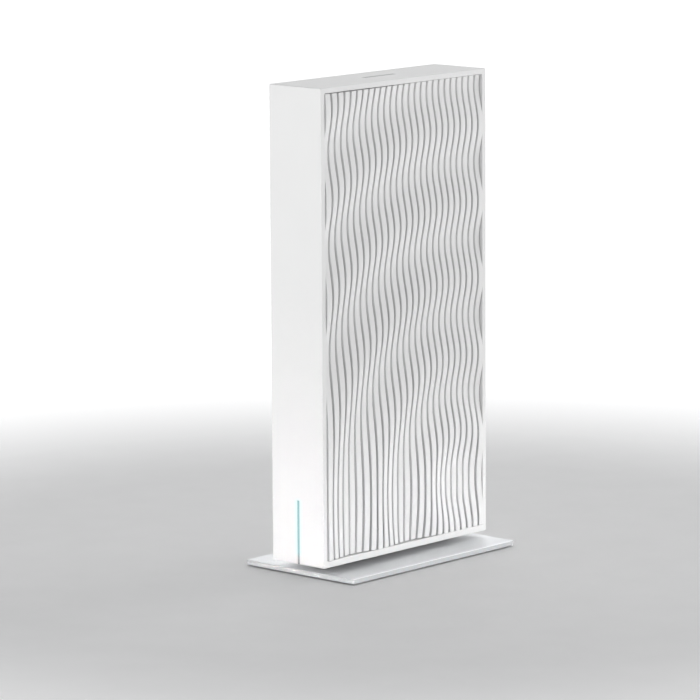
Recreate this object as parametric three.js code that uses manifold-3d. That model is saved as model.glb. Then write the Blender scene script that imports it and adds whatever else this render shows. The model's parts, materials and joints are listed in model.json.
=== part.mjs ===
// A wireless router: an upright white case with slatted, rippled side panels, on a flat metal base plate.
// Millimetres. +Z is up, the lit front face looks along -Y and the sockets look along +Y.
// The origin is on the surface the router stands on. Inside the case group, z = 0 is the underside
// of the case and y = 0 is midway between its front and rear faces.
import * as THREE from "three";
import { mergeVertices } from "three/addons/utils/BufferGeometryUtils.js";
import Module from "manifold-3d";

const wasm = await Module();
wasm.setup();

// Driving dimensions.
const caseWidth = 26.5; // X
const caseDepth = 95.6; // Y
const caseHeight = 183.7; // Z
const wall = 2.15; // front, rear and top walls
const floorWall = 2.6;
const edgeBevel = 0.3;
const edgeRadius = 0.5;
const touch = 0.1; // gap between pieces that rest on each other
const clear = 0.3; // gap round a piece that sits in an opening

const plateWidth = 55.6;
const plateLength = 94.6;
const plateThickness = 2;
const plateUnderside = 0.5;
const plateBevel = 0.5;
const shadowGap = 2.05; // between the base plate and the case

// Places worked out from them.
const halfWidth = caseWidth / 2;
const halfDepth = caseDepth / 2;
const innerY = halfDepth - wall;
const innerTop = caseHeight - wall;
const plateTop = plateUnderside + plateThickness;
const caseLift = plateTop + shadowGap;
const screwY = 25; // the two base screws stand at +-screwY on the centre line

// The side panels: upright slats, whose faces follow circular ripples about one centre, low down near
// the rear edge.
const ripple = { y: 32.1, z: 22.6, firstCrest: 20.1, wavelength: 30, mean: -0.3, swing: 1.05, steps: 5 };
const slat = { count: 26, pitch: 3.52, slit: 1.05, root: 11 }; // root: |x| of the floor of a slit
const panelBack = 10.25; // |x| of the flat inner face
const ledge = { from: 8.45, to: 9.95, depth: 1.2 }; // ribs in the case that the panels rest on
const tab = { heights: [15, 110, 165], length: 7, thickness: 1, reach: 2.65, barb: 0.8 };

// The main board stands upright, with its components facing -X.
const boardFace = 4.4;
const boardBack = 6;
const solder = boardFace - touch; // x of the underside of a component on the board
const board = { front: -41.5, rear: 44, bottom: 6, top: 152 };
const boardScrews = [[-37, 10.5], [18, 10.5], [-37, 147], [39.5, 147]];
const sinkPins = [[-10, 61.5], [-10, 128.5]];
const chassis = { from: 6.9, to: 8.1, halfLength: 42.8, bottom: 3, top: 180.9 };
const sink = { back: 1.8, web: 2, reach: -9.6, front: -30, rear: 10, bottom: 58, top: 132 };
const sinkFins = { count: 9, thickness: 1.2 };

// The sockets and the button on the rear face.
const port = { count: 4, pitch: 13.97, lowest: 52.35, depth: 14, halfHeight: 5.95 };
const jackBlock = { left: -8.55, right: 4.1, halfHeight: 29.1, length: 21, recess: 0.4 };
const portsMiddle = port.lowest + ((port.count - 1) * port.pitch) / 2;
const inlet = { x: -2.75, z: 29.7, bore: 3.3, length: 14 };
const inletBlock = { left: -6.85, right: 3.75, bottom: 25.2, top: 33.9 };
const button = { x: -2.8, z: 13.54, radius: 2.03, proud: 0.5, flange: 3, travel: 1.5 };
const socketFace = halfDepth - jackBlock.recess;

// The light line in the foot of the front face.
const light = { x: 0.2, slot: 0.8, blade: 0.6, height: 24.9 };

const root = new THREE.Group();
root.position.y = -button.proud / 2; // centres the object over the origin, the button included
const caseGroup = new THREE.Group();
caseGroup.position.z = caseLift;
root.add(caseGroup);

function material(color, roughness, metalness = 0) {
  return new THREE.MeshStandardMaterial({ color, roughness, metalness });
}
const white = material(0xf2f2f1, 0.5);
const socketWhite = material(0xeeeeec, 0.4);
const brushedPlate = material(0xc9cacc, 0.28, 1);
const darkPlastic = material(0x2b2c2e, 0.6);
const rubber = material(0x1d1d1f, 0.85);
const glow = material(0x6fd6ec, 0.25);
const gold = material(0xd9b45a, 0.3, 1);
const steel = material(0xb9bcc0, 0.32, 1);
const greenBoard = material(0x1f5a3c, 0.45);
const chipBlack = material(0x17181a, 0.5);
const sinkAluminium = material(0xaeb1b5, 0.38, 1);
const padGrey = material(0x8fa3b8, 0.8);
const chassisGrey = material(0x53565a, 0.65);
const ferrite = material(0x3a3b3d, 0.75);
const leadBlack = material(0x222226, 0.6);
const ledYellow = material(0xf0e6b0, 0.4);
const flexAmber = material(0xb9772c, 0.45);

// Solids from three.js geometry.
function solid(geometry) {
  geometry.deleteAttribute("normal");
  geometry.deleteAttribute("uv");
  const merged = mergeVertices(geometry, 1e-4);
  const vertProperties = merged.attributes.position.array;
  const triVerts = new Uint32Array(merged.index.array);
  return new wasm.Manifold(new wasm.Mesh({ numProp: 3, vertProperties, triVerts }));
}

function add(parent, name, made, look) {
  const { vertProperties, triVerts } = made.getMesh();
  const geometry = new THREE.BufferGeometry();
  geometry.setAttribute("position", new THREE.BufferAttribute(vertProperties, 3));
  geometry.setIndex(new THREE.BufferAttribute(triVerts, 1));
  geometry.computeVertexNormals();
  const mesh = new THREE.Mesh(geometry, look);
  mesh.name = name;
  parent.add(mesh);
  return mesh;
}

function block(x0, x1, y0, y1, z0, z1) {
  const geometry = new THREE.BoxGeometry(x1 - x0, y1 - y0, z1 - z0);
  geometry.translate((x0 + x1) / 2, (y0 + y1) / 2, (z0 + z1) / 2);
  return solid(geometry);
}

function polygon(points) {
  return new THREE.Shape(points.map(([u, v]) => new THREE.Vector2(u, v)));
}

function roundedRect(u0, v0, u1, v1, radius) {
  const shape = new THREE.Shape();
  shape.absarc(u1 - radius, v1 - radius, radius, 0, Math.PI / 2);
  shape.absarc(u0 + radius, v1 - radius, radius, Math.PI / 2, Math.PI);
  shape.absarc(u0 + radius, v0 + radius, radius, Math.PI, 1.5 * Math.PI);
  shape.absarc(u1 - radius, v0 + radius, radius, 1.5 * Math.PI, 2 * Math.PI);
  shape.closePath();
  return shape;
}

// A prism along one axis. Its section is drawn in (y, z) along x, (x, z) along y and (x, y) along z.
function prism(shape, axis, from, to, bevel = 0, curveSegments = 3) {
  const depth = to - from - 2 * bevel;
  const geometry = new THREE.ExtrudeGeometry(shape, {
    depth,
    curveSegments,
    bevelEnabled: bevel > 0,
    bevelThickness: bevel,
    bevelSize: bevel,
    bevelOffset: -bevel,
    bevelSegments: 1,
  });
  if (axis === "x") {
    geometry.rotateX(Math.PI / 2);
    geometry.rotateZ(Math.PI / 2);
    geometry.translate(from + bevel, 0, 0);
  } else if (axis === "y") {
    geometry.rotateX(Math.PI / 2);
    geometry.translate(0, to - bevel, 0);
  } else {
    geometry.translate(0, 0, from + bevel);
  }
  return solid(geometry);
}

// A turned solid: profile holds [radius, distance along the axis], and starts and ends on the axis.
function turned(axis, u, v, profile, sides = 24) {
  const geometry = new THREE.LatheGeometry(
    profile.map(([radius, along]) => new THREE.Vector2(radius, along)),
    sides,
  );
  if (axis === "x") {
    geometry.rotateZ(-Math.PI / 2);
    geometry.translate(0, u, v);
  } else if (axis === "y") {
    geometry.translate(u, 0, v);
  } else {
    geometry.rotateX(Math.PI / 2);
    geometry.translate(u, v, 0);
  }
  return solid(geometry);
}

function rod(axis, u, v, radius, from, to, sides = 24) {
  return turned(axis, u, v, [[0, from], [radius, from], [radius, to], [0, to]], sides);
}

function join(...solids) {
  return solids.reduce((whole, next) => whole.add(next));
}

function cut(base, ...tools) {
  return tools.reduce((left, tool) => left.subtract(tool), base);
}

// A round lead along a smooth curve through its points.
function lead(points, radius, steps) {
  const path = new THREE.CatmullRomCurve3(points.map((p) => new THREE.Vector3(...p)));
  const sides = 8;
  const section = [];
  for (let i = 0; i < sides; i++) {
    const turn = (2 * Math.PI * i) / sides;
    section.push([radius * Math.cos(turn), radius * Math.sin(turn)]);
  }
  return solid(new THREE.ExtrudeGeometry(polygon(section), { steps, extrudePath: path }));
}

// The case: one ring of front, top, rear and floor walls, open at both sides.
function housingFrame() {
  const outline = roundedRect(-halfDepth, 0, halfDepth, caseHeight, edgeRadius);
  outline.holes.push(roundedRect(-innerY, floorWall, innerY, innerTop, edgeRadius / 2));
  let ring = prism(outline, "x", -halfWidth, halfWidth, edgeBevel, 2);

  const bite = wall / 4; // how far the ribs run into the walls
  const rib = polygon([
    [-innerY - bite, floorWall - bite],
    [innerY + bite, floorWall - bite],
    [innerY + bite, innerTop + bite],
    [-innerY - bite, innerTop + bite],
  ]);
  rib.holes.push(polygon([
    [-innerY + ledge.depth, floorWall + ledge.depth],
    [-innerY + ledge.depth, innerTop - ledge.depth],
    [innerY - ledge.depth, innerTop - ledge.depth],
    [innerY - ledge.depth, floorWall + ledge.depth],
  ]));
  ring = join(ring, prism(rib, "x", ledge.from, ledge.to), prism(rib, "x", -ledge.to, -ledge.from));

  const bossTop = 9;
  const bossRadius = 3.2;
  const pilot = 1.6;
  for (const y of [-screwY, screwY]) {
    ring = join(ring, rod("z", 0, y, bossRadius, floorWall / 2, bossTop, 20));
    ring = cut(ring, rod("z", 0, y, pilot, -1, bossTop + 1, 16));
  }

  const beyond = halfDepth + 1;
  const inside = innerY - 2 * ledge.depth;
  const lightLeft = light.x - light.slot / 2;
  return cut(
    ring,
    block(
      jackBlock.left - clear,
      jackBlock.right + clear,
      inside,
      beyond,
      portsMiddle - jackBlock.halfHeight - clear,
      portsMiddle + jackBlock.halfHeight + clear,
    ),
    block(
      inletBlock.left - clear,
      inletBlock.right + clear,
      inside,
      beyond,
      inletBlock.bottom - clear,
      inletBlock.top + clear,
    ),
    rod("y", button.x, button.z, button.radius + clear, inside, beyond),
    block(lightLeft, lightLeft + light.slot, -beyond, -innerY + clear, -1, light.height),
  );
}

function rippleHeight(y, z) {
  const bowl = ripple.firstCrest - ripple.wavelength / 2; // flat inside the first trough
  const r = Math.max(Math.hypot(y - ripple.y, z - ripple.z), bowl);
  return ripple.mean + ripple.swing * Math.cos((2 * Math.PI * (r - ripple.firstCrest)) / ripple.wavelength);
}

// The panel on the +X side, with snap tabs that catch behind the ribs of the case.
function wavePanel() {
  const bottom = floorWall + clear;
  const top = innerTop - clear;
  const thickness = slat.pitch - slat.slit;
  const halfLength = (slat.count * slat.pitch - slat.slit) / 2;
  const rows = Math.round(((top - bottom) * ripple.steps) / ripple.wavelength);
  let panel = block(panelBack, slat.root, -halfLength, halfLength, bottom, top);
  for (let i = 0; i < slat.count; i++) {
    const y = (i - (slat.count - 1) / 2) * slat.pitch;
    const side = [[panelBack + clear, top], [panelBack + clear, bottom]];
    for (let row = 0; row <= rows; row++) {
      const z = bottom + ((top - bottom) * row) / rows;
      side.push([halfWidth + rippleHeight(y, z), z]);
    }
    panel = join(panel, prism(polygon(side), "y", y - thickness / 2, y + thickness / 2));
  }

  const outer = innerY - ledge.depth - clear; // outer face of a tab
  const tip = panelBack - tab.reach;
  const barbTop = ledge.from - clear;
  for (const side of [-1, 1]) {
    const hook = polygon([
      [panelBack + clear, side * outer],
      [barbTop, side * outer],
      [barbTop, side * (outer + tab.barb)],
      [tip, side * outer],
      [tip, side * (outer - tab.thickness)],
      [panelBack + clear, side * (outer - tab.thickness)],
    ]);
    for (const z of tab.heights) {
      panel = join(panel, prism(hook, "z", z - tab.length / 2, z + tab.length / 2));
    }
  }
  return panel;
}

// The base: a metal plate on four rubber pads, and the neck that the case stands on.
function baseOutline(halfX, halfY, radius) {
  return roundedRect(-halfX, -halfY, halfX, halfY, radius);
}

const screw = { head: 2.7, shank: 1.3, headDepth: 1.4, length: 12.5 };

// A countersunk screw, or with grow the room for one, which runs on down through the plate.
function screwSolid(y, grow) {
  const underside = plateUnderside + touch;
  const headEnd = underside + screw.headDepth;
  const tip = headEnd + screw.length;
  const start = grow > 0 ? underside - 1 : underside;
  const room = grow > 0 ? [[screw.head + grow, underside]] : [];
  return turned("z", 0, y, [
    [0, start],
    [screw.head + grow, start],
    ...room,
    [screw.shank + grow, headEnd],
    [screw.shank + grow, tip],
    [0, tip],
  ], 20);
}

function addBase() {
  const holes = [-screwY, screwY].map((y) => screwSolid(y, clear));
  const cornerRadius = 0.6;
  const outline = baseOutline(plateWidth / 2, plateLength / 2, cornerRadius);
  const plate = prism(outline, "z", plateUnderside, plateTop, plateBevel);
  add(root, "base_plate", cut(plate, ...holes), brushedPlate);

  const neck = prism(baseOutline(4.6, 36, 3), "z", plateTop + touch, caseLift - touch, 0, 5);
  add(root, "base_pedestal", cut(neck, ...holes), darkPlastic);

  [-screwY, screwY].forEach((y, i) => add(root, `base_screw_${i + 1}`, screwSolid(y, 0), steel));

  const padRadius = 4;
  const padX = plateWidth / 2 - 7;
  const padY = plateLength / 2 - 7;
  const corners = [[-1, -1], [1, -1], [1, 1], [-1, 1]];
  corners.forEach(([sx, sy], i) => {
    const pad = rod("z", sx * padX, sy * padY, padRadius, 0, plateUnderside - touch, 20);
    add(root, `foot_pad_${i + 1}`, pad, rubber);
  });
}

// The ganged block of network sockets. A port's section is drawn from its middle, in (x, z).
function portSection(z) {
  const mouth = -5.55; // latch side of the plug cavity
  const contactWall = 0.95;
  const ear = 2.7;
  const half = [
    [contactWall, 3.45],
    [ear, 3.45],
    [ear, port.halfHeight],
    [mouth, port.halfHeight],
    [mouth, 3.25],
    [mouth - 1.6, 3.25],
    [mouth - 1.6, 2.05],
    [mouth - 2.6, 2.05],
  ];
  const mirrored = half.map(([x, dz]) => [x, -dz]).reverse();
  return polygon([...half, ...mirrored].map(([x, dz]) => [x, z + dz]));
}

function addEthernet() {
  let jacks = block(
    jackBlock.left,
    jackBlock.right,
    socketFace - jackBlock.length,
    socketFace,
    portsMiddle - jackBlock.halfHeight,
    portsMiddle + jackBlock.halfHeight,
  );
  const wires = 8;
  const wirePitch = 1.02;
  const wireWidth = 0.45;
  const spring = polygon([
    [0.8, socketFace - 2.5],
    [0.45, socketFace - 2.5],
    [-1, socketFace - 11.4],
    [-0.65, socketFace - 11.4],
  ]);
  for (let i = 0; i < port.count; i++) {
    const z = port.lowest + i * port.pitch;
    jacks = cut(jacks, prism(portSection(z), "y", socketFace - port.depth, socketFace + 1));
    let comb = block(-1.05, -0.6, socketFace - 12, socketFace - 11.2, z - 3.9, z + 3.9);
    for (let k = 0; k < wires; k++) {
      const middle = z + (k - (wires - 1) / 2) * wirePitch;
      comb = join(comb, prism(spring, "z", middle - wireWidth / 2, middle + wireWidth / 2));
    }
    add(caseGroup, `ethernet_contacts_${i + 1}`, comb, gold);
  }
  add(caseGroup, "ethernet_jack_block", jacks, socketWhite);
  for (let i = 0; i < 2; i++) {
    const z = portsMiddle + (i - 0.5) * 2 * port.pitch;
    add(caseGroup, `ethernet_magnetics_${i + 1}`, block(-0.9, solder, 12.5, 22.5, z - 9, z + 9), chipBlack);
  }
}

// The power inlet: a jack with a centre pin and a sprung side contact.
function addInlet() {
  const back = socketFace - inlet.length;
  const boreEnd = socketFace - 10.5;
  const pinRadius = 1.05;
  const slot = { half: 1, reach: 1.3, end: socketFace - 2 };
  const wallX = inlet.x + inlet.bore;
  const housing = cut(
    block(inletBlock.left, inletBlock.right, back, socketFace, inletBlock.bottom, inletBlock.top),
    rod("y", inlet.x, inlet.z, inlet.bore, boreEnd, socketFace + 1, 32),
    rod("y", inlet.x, inlet.z, pinRadius + clear, back - 1, boreEnd + 1, 16),
    block(wallX - 1, wallX + slot.reach, back - 1, slot.end, inlet.z - slot.half, inlet.z + slot.half),
  );
  add(caseGroup, "dc_jack_housing", housing, socketWhite);

  const tip = socketFace - 2.2;
  const pin = turned("y", inlet.x, inlet.z, [
    [0, back],
    [pinRadius, back],
    [pinRadius, tip - 0.5],
    [pinRadius - 0.45, tip],
    [0, tip],
  ], 20);
  add(caseGroup, "dc_centre_pin", pin, steel);

  const leaf = polygon([
    [wallX + 0.7, back + 1],
    [wallX + 1, back + 1],
    [wallX + 1, slot.end - 1],
    [wallX - 0.4, slot.end - 3.5],
    [wallX - 0.4, slot.end - 4.2],
    [wallX + 0.7, slot.end - 2],
  ]);
  const leafHalf = slot.half - touch;
  add(caseGroup, "dc_spring_contact", prism(leaf, "z", inlet.z - leafHalf, inlet.z + leafHalf), steel);
}

// The power button, its switch and the plunger between them. The cap and plunger slide along Y.
function addButton() {
  const { x, z } = button;
  const face = halfDepth + button.proud;
  const capBack = innerY - 2.65;
  const flangeBack = innerY - 1.65;
  const flangeFront = innerY - 0.45;
  const soften = 0.25;
  const cap = turned("y", x, z, [
    [0, capBack],
    [1.6, capBack],
    [1.6, flangeBack],
    [button.flange, flangeBack],
    [button.flange, flangeFront],
    [button.radius, flangeFront],
    [button.radius, face - soften],
    [button.radius - soften, face],
    [0, face],
  ], 32);
  add(caseGroup, "power_button", cap, white);

  const switchFront = flangeBack - button.travel - 1.5;
  const switchBack = switchFront - 14;
  const plungerHalf = 1.4;
  const pocketHalf = plungerHalf + clear;
  const pocketEnd = switchBack + 4;
  const body = cut(
    block(-6.4, solder, switchBack, switchFront, z - 3.55, z + 3.55),
    block(x - pocketHalf, x + pocketHalf, pocketEnd, switchFront + 1, z - pocketHalf, z + pocketHalf),
  );
  add(caseGroup, "power_switch_body", body, chipBlack);

  const plungerBack = pocketEnd + button.travel + 0.7;
  const plunger = block(
    x - plungerHalf,
    x + plungerHalf,
    plungerBack,
    capBack - touch,
    z - plungerHalf,
    z + plungerHalf,
  );
  add(caseGroup, "power_switch_plunger", plunger, socketWhite);
}

// The light line: a clear guide whose thin blade fills the slot, with the lamps on a strip behind it.
function addLight() {
  const flangeFront = -innerY + clear;
  const flangeBack = flangeFront + 1.35;
  const bladeHalf = light.blade / 2;
  const flangeHalf = 2;
  const guide = join(
    block(light.x - bladeHalf, light.x + bladeHalf, -halfDepth, flangeFront, touch, light.height - touch),
    block(
      light.x - flangeHalf,
      light.x + flangeHalf,
      flangeFront - touch,
      flangeBack,
      floorWall + clear,
      light.height + 1,
    ),
  );
  add(caseGroup, "led_light_guide", guide, glow);

  const stripFront = flangeBack + 1;
  const stripBack = stripFront + 0.8;
  add(caseGroup, "led_board", block(-4, 4, stripFront, stripBack, 3.2, 27), greenBoard);
  [9, 19].forEach((z, i) => {
    const lamp = block(light.x - 1, light.x + 1, flangeBack + touch, stripFront - touch, z - 0.9, z + 0.9);
    add(caseGroup, `led_chip_${i + 1}`, lamp, ledYellow);
  });

  // A flat lead that bows from the strip to the main board.
  const thickness = 0.25;
  const bow = new THREE.QuadraticBezierCurve(
    new THREE.Vector2(0, stripBack + touch + thickness),
    new THREE.Vector2(0, -37),
    new THREE.Vector2(solder - thickness, -35.5),
  ).getPoints(8);
  const near = bow.map((p) => [p.x, p.y]);
  const far = bow.map((p) => [p.x + thickness, p.y - thickness]).reverse();
  add(caseGroup, "led_flex", prism(polygon([...near, ...far]), "z", 19, 24), flexAmber);
}

// The chassis: an upright frame behind the main board, with four posts for the board screws and
// lugs that lie against the ribs of the case.
function addChassis() {
  const { from, to, halfLength, bottom, top } = chassis;
  const outline = roundedRect(-halfLength, bottom, halfLength, top, 2);
  outline.holes.push(roundedRect(-33, 25, 25, 140, 2));
  outline.holes.push(roundedRect(-35, 158, 35, 175, 2));
  let frame = prism(outline, "x", from, to);
  for (const side of [-1, 1]) {
    for (const z of [52, 140]) {
      const inner = side * (halfLength - 1);
      const outer = side * (innerY - 0.35);
      frame = join(frame, block(from, to, Math.min(inner, outer), Math.max(inner, outer), z - 4, z + 4));
    }
  }
  for (const [y, z] of boardScrews) {
    frame = join(frame, rod("x", y, z, 3, boardBack + touch, from + 0.5, 20));
    frame = cut(frame, rod("x", y, z, 1.4, boardBack - 1, to + 1, 16));
  }
  add(caseGroup, "inner_chassis", frame, chassisGrey);
}

function addBoard() {
  const outline = roundedRect(board.front, board.bottom, board.rear, board.top, 2);
  let pcb = prism(outline, "x", boardFace, boardBack);
  for (const [y, z] of boardScrews) pcb = cut(pcb, rod("x", y, z, 1.5, boardFace - 1, boardBack + 1, 16));
  for (const [y, z] of sinkPins) pcb = cut(pcb, rod("x", y, z, 1.3, boardFace - 1, boardBack + 1, 16));
  add(caseGroup, "main_pcb", pcb, greenBoard);

  boardScrews.forEach(([y, z], i) => {
    const screw = turned("x", y, z, [
      [0, solder - 1.6],
      [1.9, solder - 1.6],
      [2.5, solder - 1.1],
      [2.5, solder],
      [1.2, solder],
      [1.2, chassis.to - 0.2],
      [0, chassis.to - 0.2],
    ], 16);
    add(caseGroup, `pcb_screw_${i + 1}`, screw, steel);
  });
}

function addChips() {
  add(caseGroup, "soc_chip", block(2.8, solder, -18, -2, 88, 104), chipBlack);
  add(caseGroup, "ram_chip", block(3.3, solder, 0, 8, 89, 101), chipBlack);
  add(caseGroup, "flash_chip", block(3.4, solder, -19, -11, 70, 78), chipBlack);
  add(caseGroup, "thermal_pad_soc", block(sink.back + touch, 2.7, -17, -3, 89, 103), padGrey);
  add(caseGroup, "power_inductor_1", block(1, solder, 12, 18.5, 27, 33.5), ferrite);
  const can = [[0, -3.6], [2.9, -3.6], [3.15, -3.3], [3.15, solder], [0, solder]];
  add(caseGroup, "power_capacitor_1", turned("x", 26.5, 31, can, 20), steel);

  // Radio shields: thin cans, open towards the board.
  const skin = 0.3;
  [[-33, -12], [-8, 10]].forEach(([y0, y1], i) => {
    const shield = cut(
      block(1.9, solder, y0, y1, 33, 55),
      block(1.9 + skin, solder + 1, y0 + skin, y1 - skin, 33 + skin, 55 - skin),
    );
    add(caseGroup, `rf_shield_${i + 1}`, shield, steel);
  });
}

function addCooling() {
  const { back, web, reach, front, rear, bottom, top } = sink;
  const { count, thickness } = sinkFins;
  const finEnd = 6; // the fins stop short of the web's ends, where the push pins are
  const webFront = back - web;
  const step = (rear - front - thickness) / (count - 1);
  let body = block(webFront, back, front, rear, bottom, top);
  for (let i = 0; i < count; i++) {
    const y = front + i * step;
    body = join(body, block(reach, webFront + web / 2, y, y + thickness, bottom + finEnd, top - finEnd));
  }
  for (const [y, z] of sinkPins) body = cut(body, rod("x", y, z, 1.3, webFront - 1, back + 1, 16));
  add(caseGroup, "main_heatsink", body, sinkAluminium);

  sinkPins.forEach(([y, z], i) => {
    const head = webFront - touch;
    const pin = turned("x", y, z, [
      [0, head - 1.2],
      [2.2, head - 1.2],
      [2.2, head],
      [1, head],
      [1, boardBack + 0.6],
      [0, boardBack + 0.6],
    ], 16);
    add(caseGroup, `heatsink_pin_${i + 1}`, pin, socketWhite);
  });

  const backPad = block(boardBack + touch, chassis.from - touch, -17, -3, 89, 103);
  add(caseGroup, "thermal_pad_back", backPad, padGrey);
  add(caseGroup, "heat_spreader", block(chassis.from, chassis.to, -30, 22, 30, 135), sinkAluminium);
}

// Four printed aerials, each with a coaxial lead that ends in a small round plug on the board.
function aerialBoard(axis, u0, v0, u1, v1, from, to) {
  const outline = roundedRect(u0, v0, u1, v1, 1);
  const slotU = (u1 - u0) * 0.2;
  const middle = (v0 + v1) / 2;
  outline.holes.push(roundedRect(u0 + slotU, middle - 0.6, u1 - slotU, middle + 0.6, 0.4));
  return prism(outline, axis, from, to, 0, 2);
}

function addAerials() {
  const thin = 0.8;
  const topFrom = 5.7;
  const wallY = innerY - clear;
  const aerials = [
    aerialBoard("x", -38, 154.5, -7, 178, topFrom, topFrom + thin),
    aerialBoard("x", 7, 154.5, 38, 178, topFrom, topFrom + thin),
    aerialBoard("y", -6, 58, 4, 108, -wallY, -wallY + thin),
    aerialBoard("y", -6, 112, 4, 150, wallY - thin, wallY),
  ];
  const radius = 0.6;
  const plug = { radius: 1.3, height: 1.2 };
  const plugs = [[-20, 141], [20, 141], [-36.5, 52], [22, 116]];
  const off = topFrom - clear - radius;
  const offWall = wallY - thin - clear - radius;
  const middle = solder - plug.height / 2;
  const routes = [
    [[off, -22, 165], [off, -22, 160], [3.2, -21.6, 153.5], [2.4, -20.6, 147]],
    [[off, 22, 165], [off, 22, 160], [3.2, 21.6, 153.5], [2.4, 20.6, 147]],
    [[-1, -offWall, 78], [-1, -offWall, 72], [0.4, -41.5, 64], [2.6, -37.6, 58.5]],
    [[-1, offWall, 134], [-1, offWall, 128], [0, 37, 121.5], [2, 27.5, 117.5]],
  ];
  aerials.forEach((aerial, i) => {
    const [y, z] = plugs[i];
    const last = routes[i][3];
    const toward = new THREE.Vector3(middle - last[0], y - last[1], z - last[2]).normalize();
    const end = [middle - toward.x * 0.3, y - toward.y * 0.3, z - toward.z * 0.3];
    const wire = lead([...routes[i], end], radius, 22);
    const seat = rod("x", y, z, plug.radius, solder - plug.height, solder, 16);
    add(caseGroup, `antenna_${i + 1}`, aerial, greenBoard);
    add(caseGroup, `antenna_lead_${i + 1}`, join(wire, seat), leadBlack);
  });
}

add(caseGroup, "housing_frame", housingFrame(), white);
const rightPanel = add(caseGroup, "right_wave_panel", wavePanel(), white);
const leftPanel = rightPanel.clone();
leftPanel.name = "left_wave_panel";
leftPanel.scale.x = -1;
caseGroup.add(leftPanel);
addBase();
addLight();
addEthernet();
addInlet();
addButton();
addChassis();
addBoard();
addChips();
addCooling();
addAerials();

export default root;
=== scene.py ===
"""Looks for the wireless router: slatted side panels, case, sockets, metal base and light line.

Lengths in this script are millimetres in the case's own frame, unless a name says otherwise: x across
the thin case, y from its lit front (-) to its sockets (+), z up from its underside. place() turns them
into metres in the row frame.
"""
import json
import math

import bmesh
import bpy
from mathutils import Matrix, Vector


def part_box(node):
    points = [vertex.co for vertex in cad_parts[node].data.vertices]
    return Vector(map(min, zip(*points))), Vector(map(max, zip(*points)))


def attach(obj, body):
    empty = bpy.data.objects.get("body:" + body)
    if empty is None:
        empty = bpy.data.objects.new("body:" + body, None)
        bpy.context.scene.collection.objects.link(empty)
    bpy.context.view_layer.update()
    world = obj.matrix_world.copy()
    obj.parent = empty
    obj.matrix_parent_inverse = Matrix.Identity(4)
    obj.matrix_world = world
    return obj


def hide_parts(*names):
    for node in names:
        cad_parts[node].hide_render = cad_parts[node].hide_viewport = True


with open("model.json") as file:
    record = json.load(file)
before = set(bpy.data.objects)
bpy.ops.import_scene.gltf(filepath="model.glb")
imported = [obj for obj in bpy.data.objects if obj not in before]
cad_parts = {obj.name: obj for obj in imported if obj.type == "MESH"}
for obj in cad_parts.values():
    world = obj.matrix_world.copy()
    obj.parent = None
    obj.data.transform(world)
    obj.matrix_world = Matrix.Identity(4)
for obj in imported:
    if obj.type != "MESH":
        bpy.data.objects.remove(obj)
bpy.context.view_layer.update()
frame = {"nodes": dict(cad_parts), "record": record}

MM = 0.001
ROUTER = "case"  # the body that everything but the button rides on
BUTTON = "power_button"

# ---------------------------------------------------------------- sizes taken from the frame
case_low, case_high = (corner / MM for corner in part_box("housing_frame"))
MID_Y = (case_low.y + case_high.y) / 2
FLOOR_Z = case_low.z
HALF_W = case_high.x
HALF_D = (case_high.y - case_low.y) / 2
HEIGHT = case_high.z - case_low.z

# ---------------------------------------------------------------- sizes of the finer shapes
WALL = 2.15
FLOOR_WALL = 2.6
EDGE = 0.3  # rounding of the case's outer edges
CORNER = 0.5  # rounding of the case's corners, seen from the side
WINDOW_EDGE = 0.15
GAP = 0.3  # round whatever sits in an opening of the case
SCREW_Y = 25  # of the two base screws, either side of the middle

RIPPLE_Y, RIPPLE_Z = 32.1, 22.6  # centre of the rings of the ripple
RIPPLE_CREST = 20.1  # radius of the first crest
RIPPLE_LENGTH = 30.0
RIPPLE_MEAN, RIPPLE_SWING = -0.3, 1.05  # against the case's side
SLATS = 26
SLAT_PITCH = 3.52
SLIT = 1.05
SLAT_EDGE = 0.2
SLIT_FLOOR = 11.0  # x of the bottom of a slit
PANEL_BACK = 10.25
ROW_STEP = 1.25  # height of one row of a panel's mesh

LIGHT_X = 0.2
LIGHT_SLOT = 1.2
LIGHT_BLADE = 1.1
LIGHT_TOP = 24.9

INK = 0.02  # height of a printed mark, and how far it is set in


def local_box(node):
    """A CAD node's corners in the case's own frame, in millimetres."""
    low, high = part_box(node)
    shift = Vector((0, MID_Y, FLOOR_Z))
    return low / MM - shift, high / MM - shift


def place(x, y, z):
    return Vector((x, y + MID_Y, z + FLOOR_Z)) * MM


# ---------------------------------------------------------------- camera, light and floor
def add_camera():
    """The view from the front and right: a long lens, level but for a small roll."""
    data = bpy.data.cameras.new("camera")
    data.sensor_width = 36
    data.lens = 229.63
    data.clip_start = 0.05
    data.clip_end = 50
    camera = bpy.data.objects.new("camera", data)
    bpy.context.scene.collection.objects.link(camera)
    pitch = math.radians(9.4749)
    roll = math.radians(-0.3412)
    heading = Vector((-0.66897, 0.74329, 0)).normalized()
    forward = heading * math.cos(pitch) - Vector((0, 0, math.sin(pitch)))
    right = Vector((heading.y, -heading.x, 0))
    up = right.cross(forward)
    side = right * math.cos(roll) + up * math.sin(roll)
    top = up * math.cos(roll) - right * math.sin(roll)
    rotation = Matrix((side, top, -forward)).transposed().to_4x4()
    camera.matrix_world = Matrix.Translation(Vector((1133.1, -1276.5 + MID_Y, 366.5)) * MM) @ rotation
    bpy.context.scene.camera = camera


def area_light(name, location, target, size, power, spread=180):
    data = bpy.data.lights.new(name, "AREA")
    data.shape = "RECTANGLE"
    data.size, data.size_y = size
    data.energy = power
    data.spread = math.radians(spread)
    light = bpy.data.objects.new(name, data)
    light.location = location
    aim = Vector(target) - Vector(location)
    light.rotation_euler = aim.to_track_quat("-Z", "Y").to_euler()
    bpy.context.scene.collection.objects.link(light)
    return light


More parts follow.
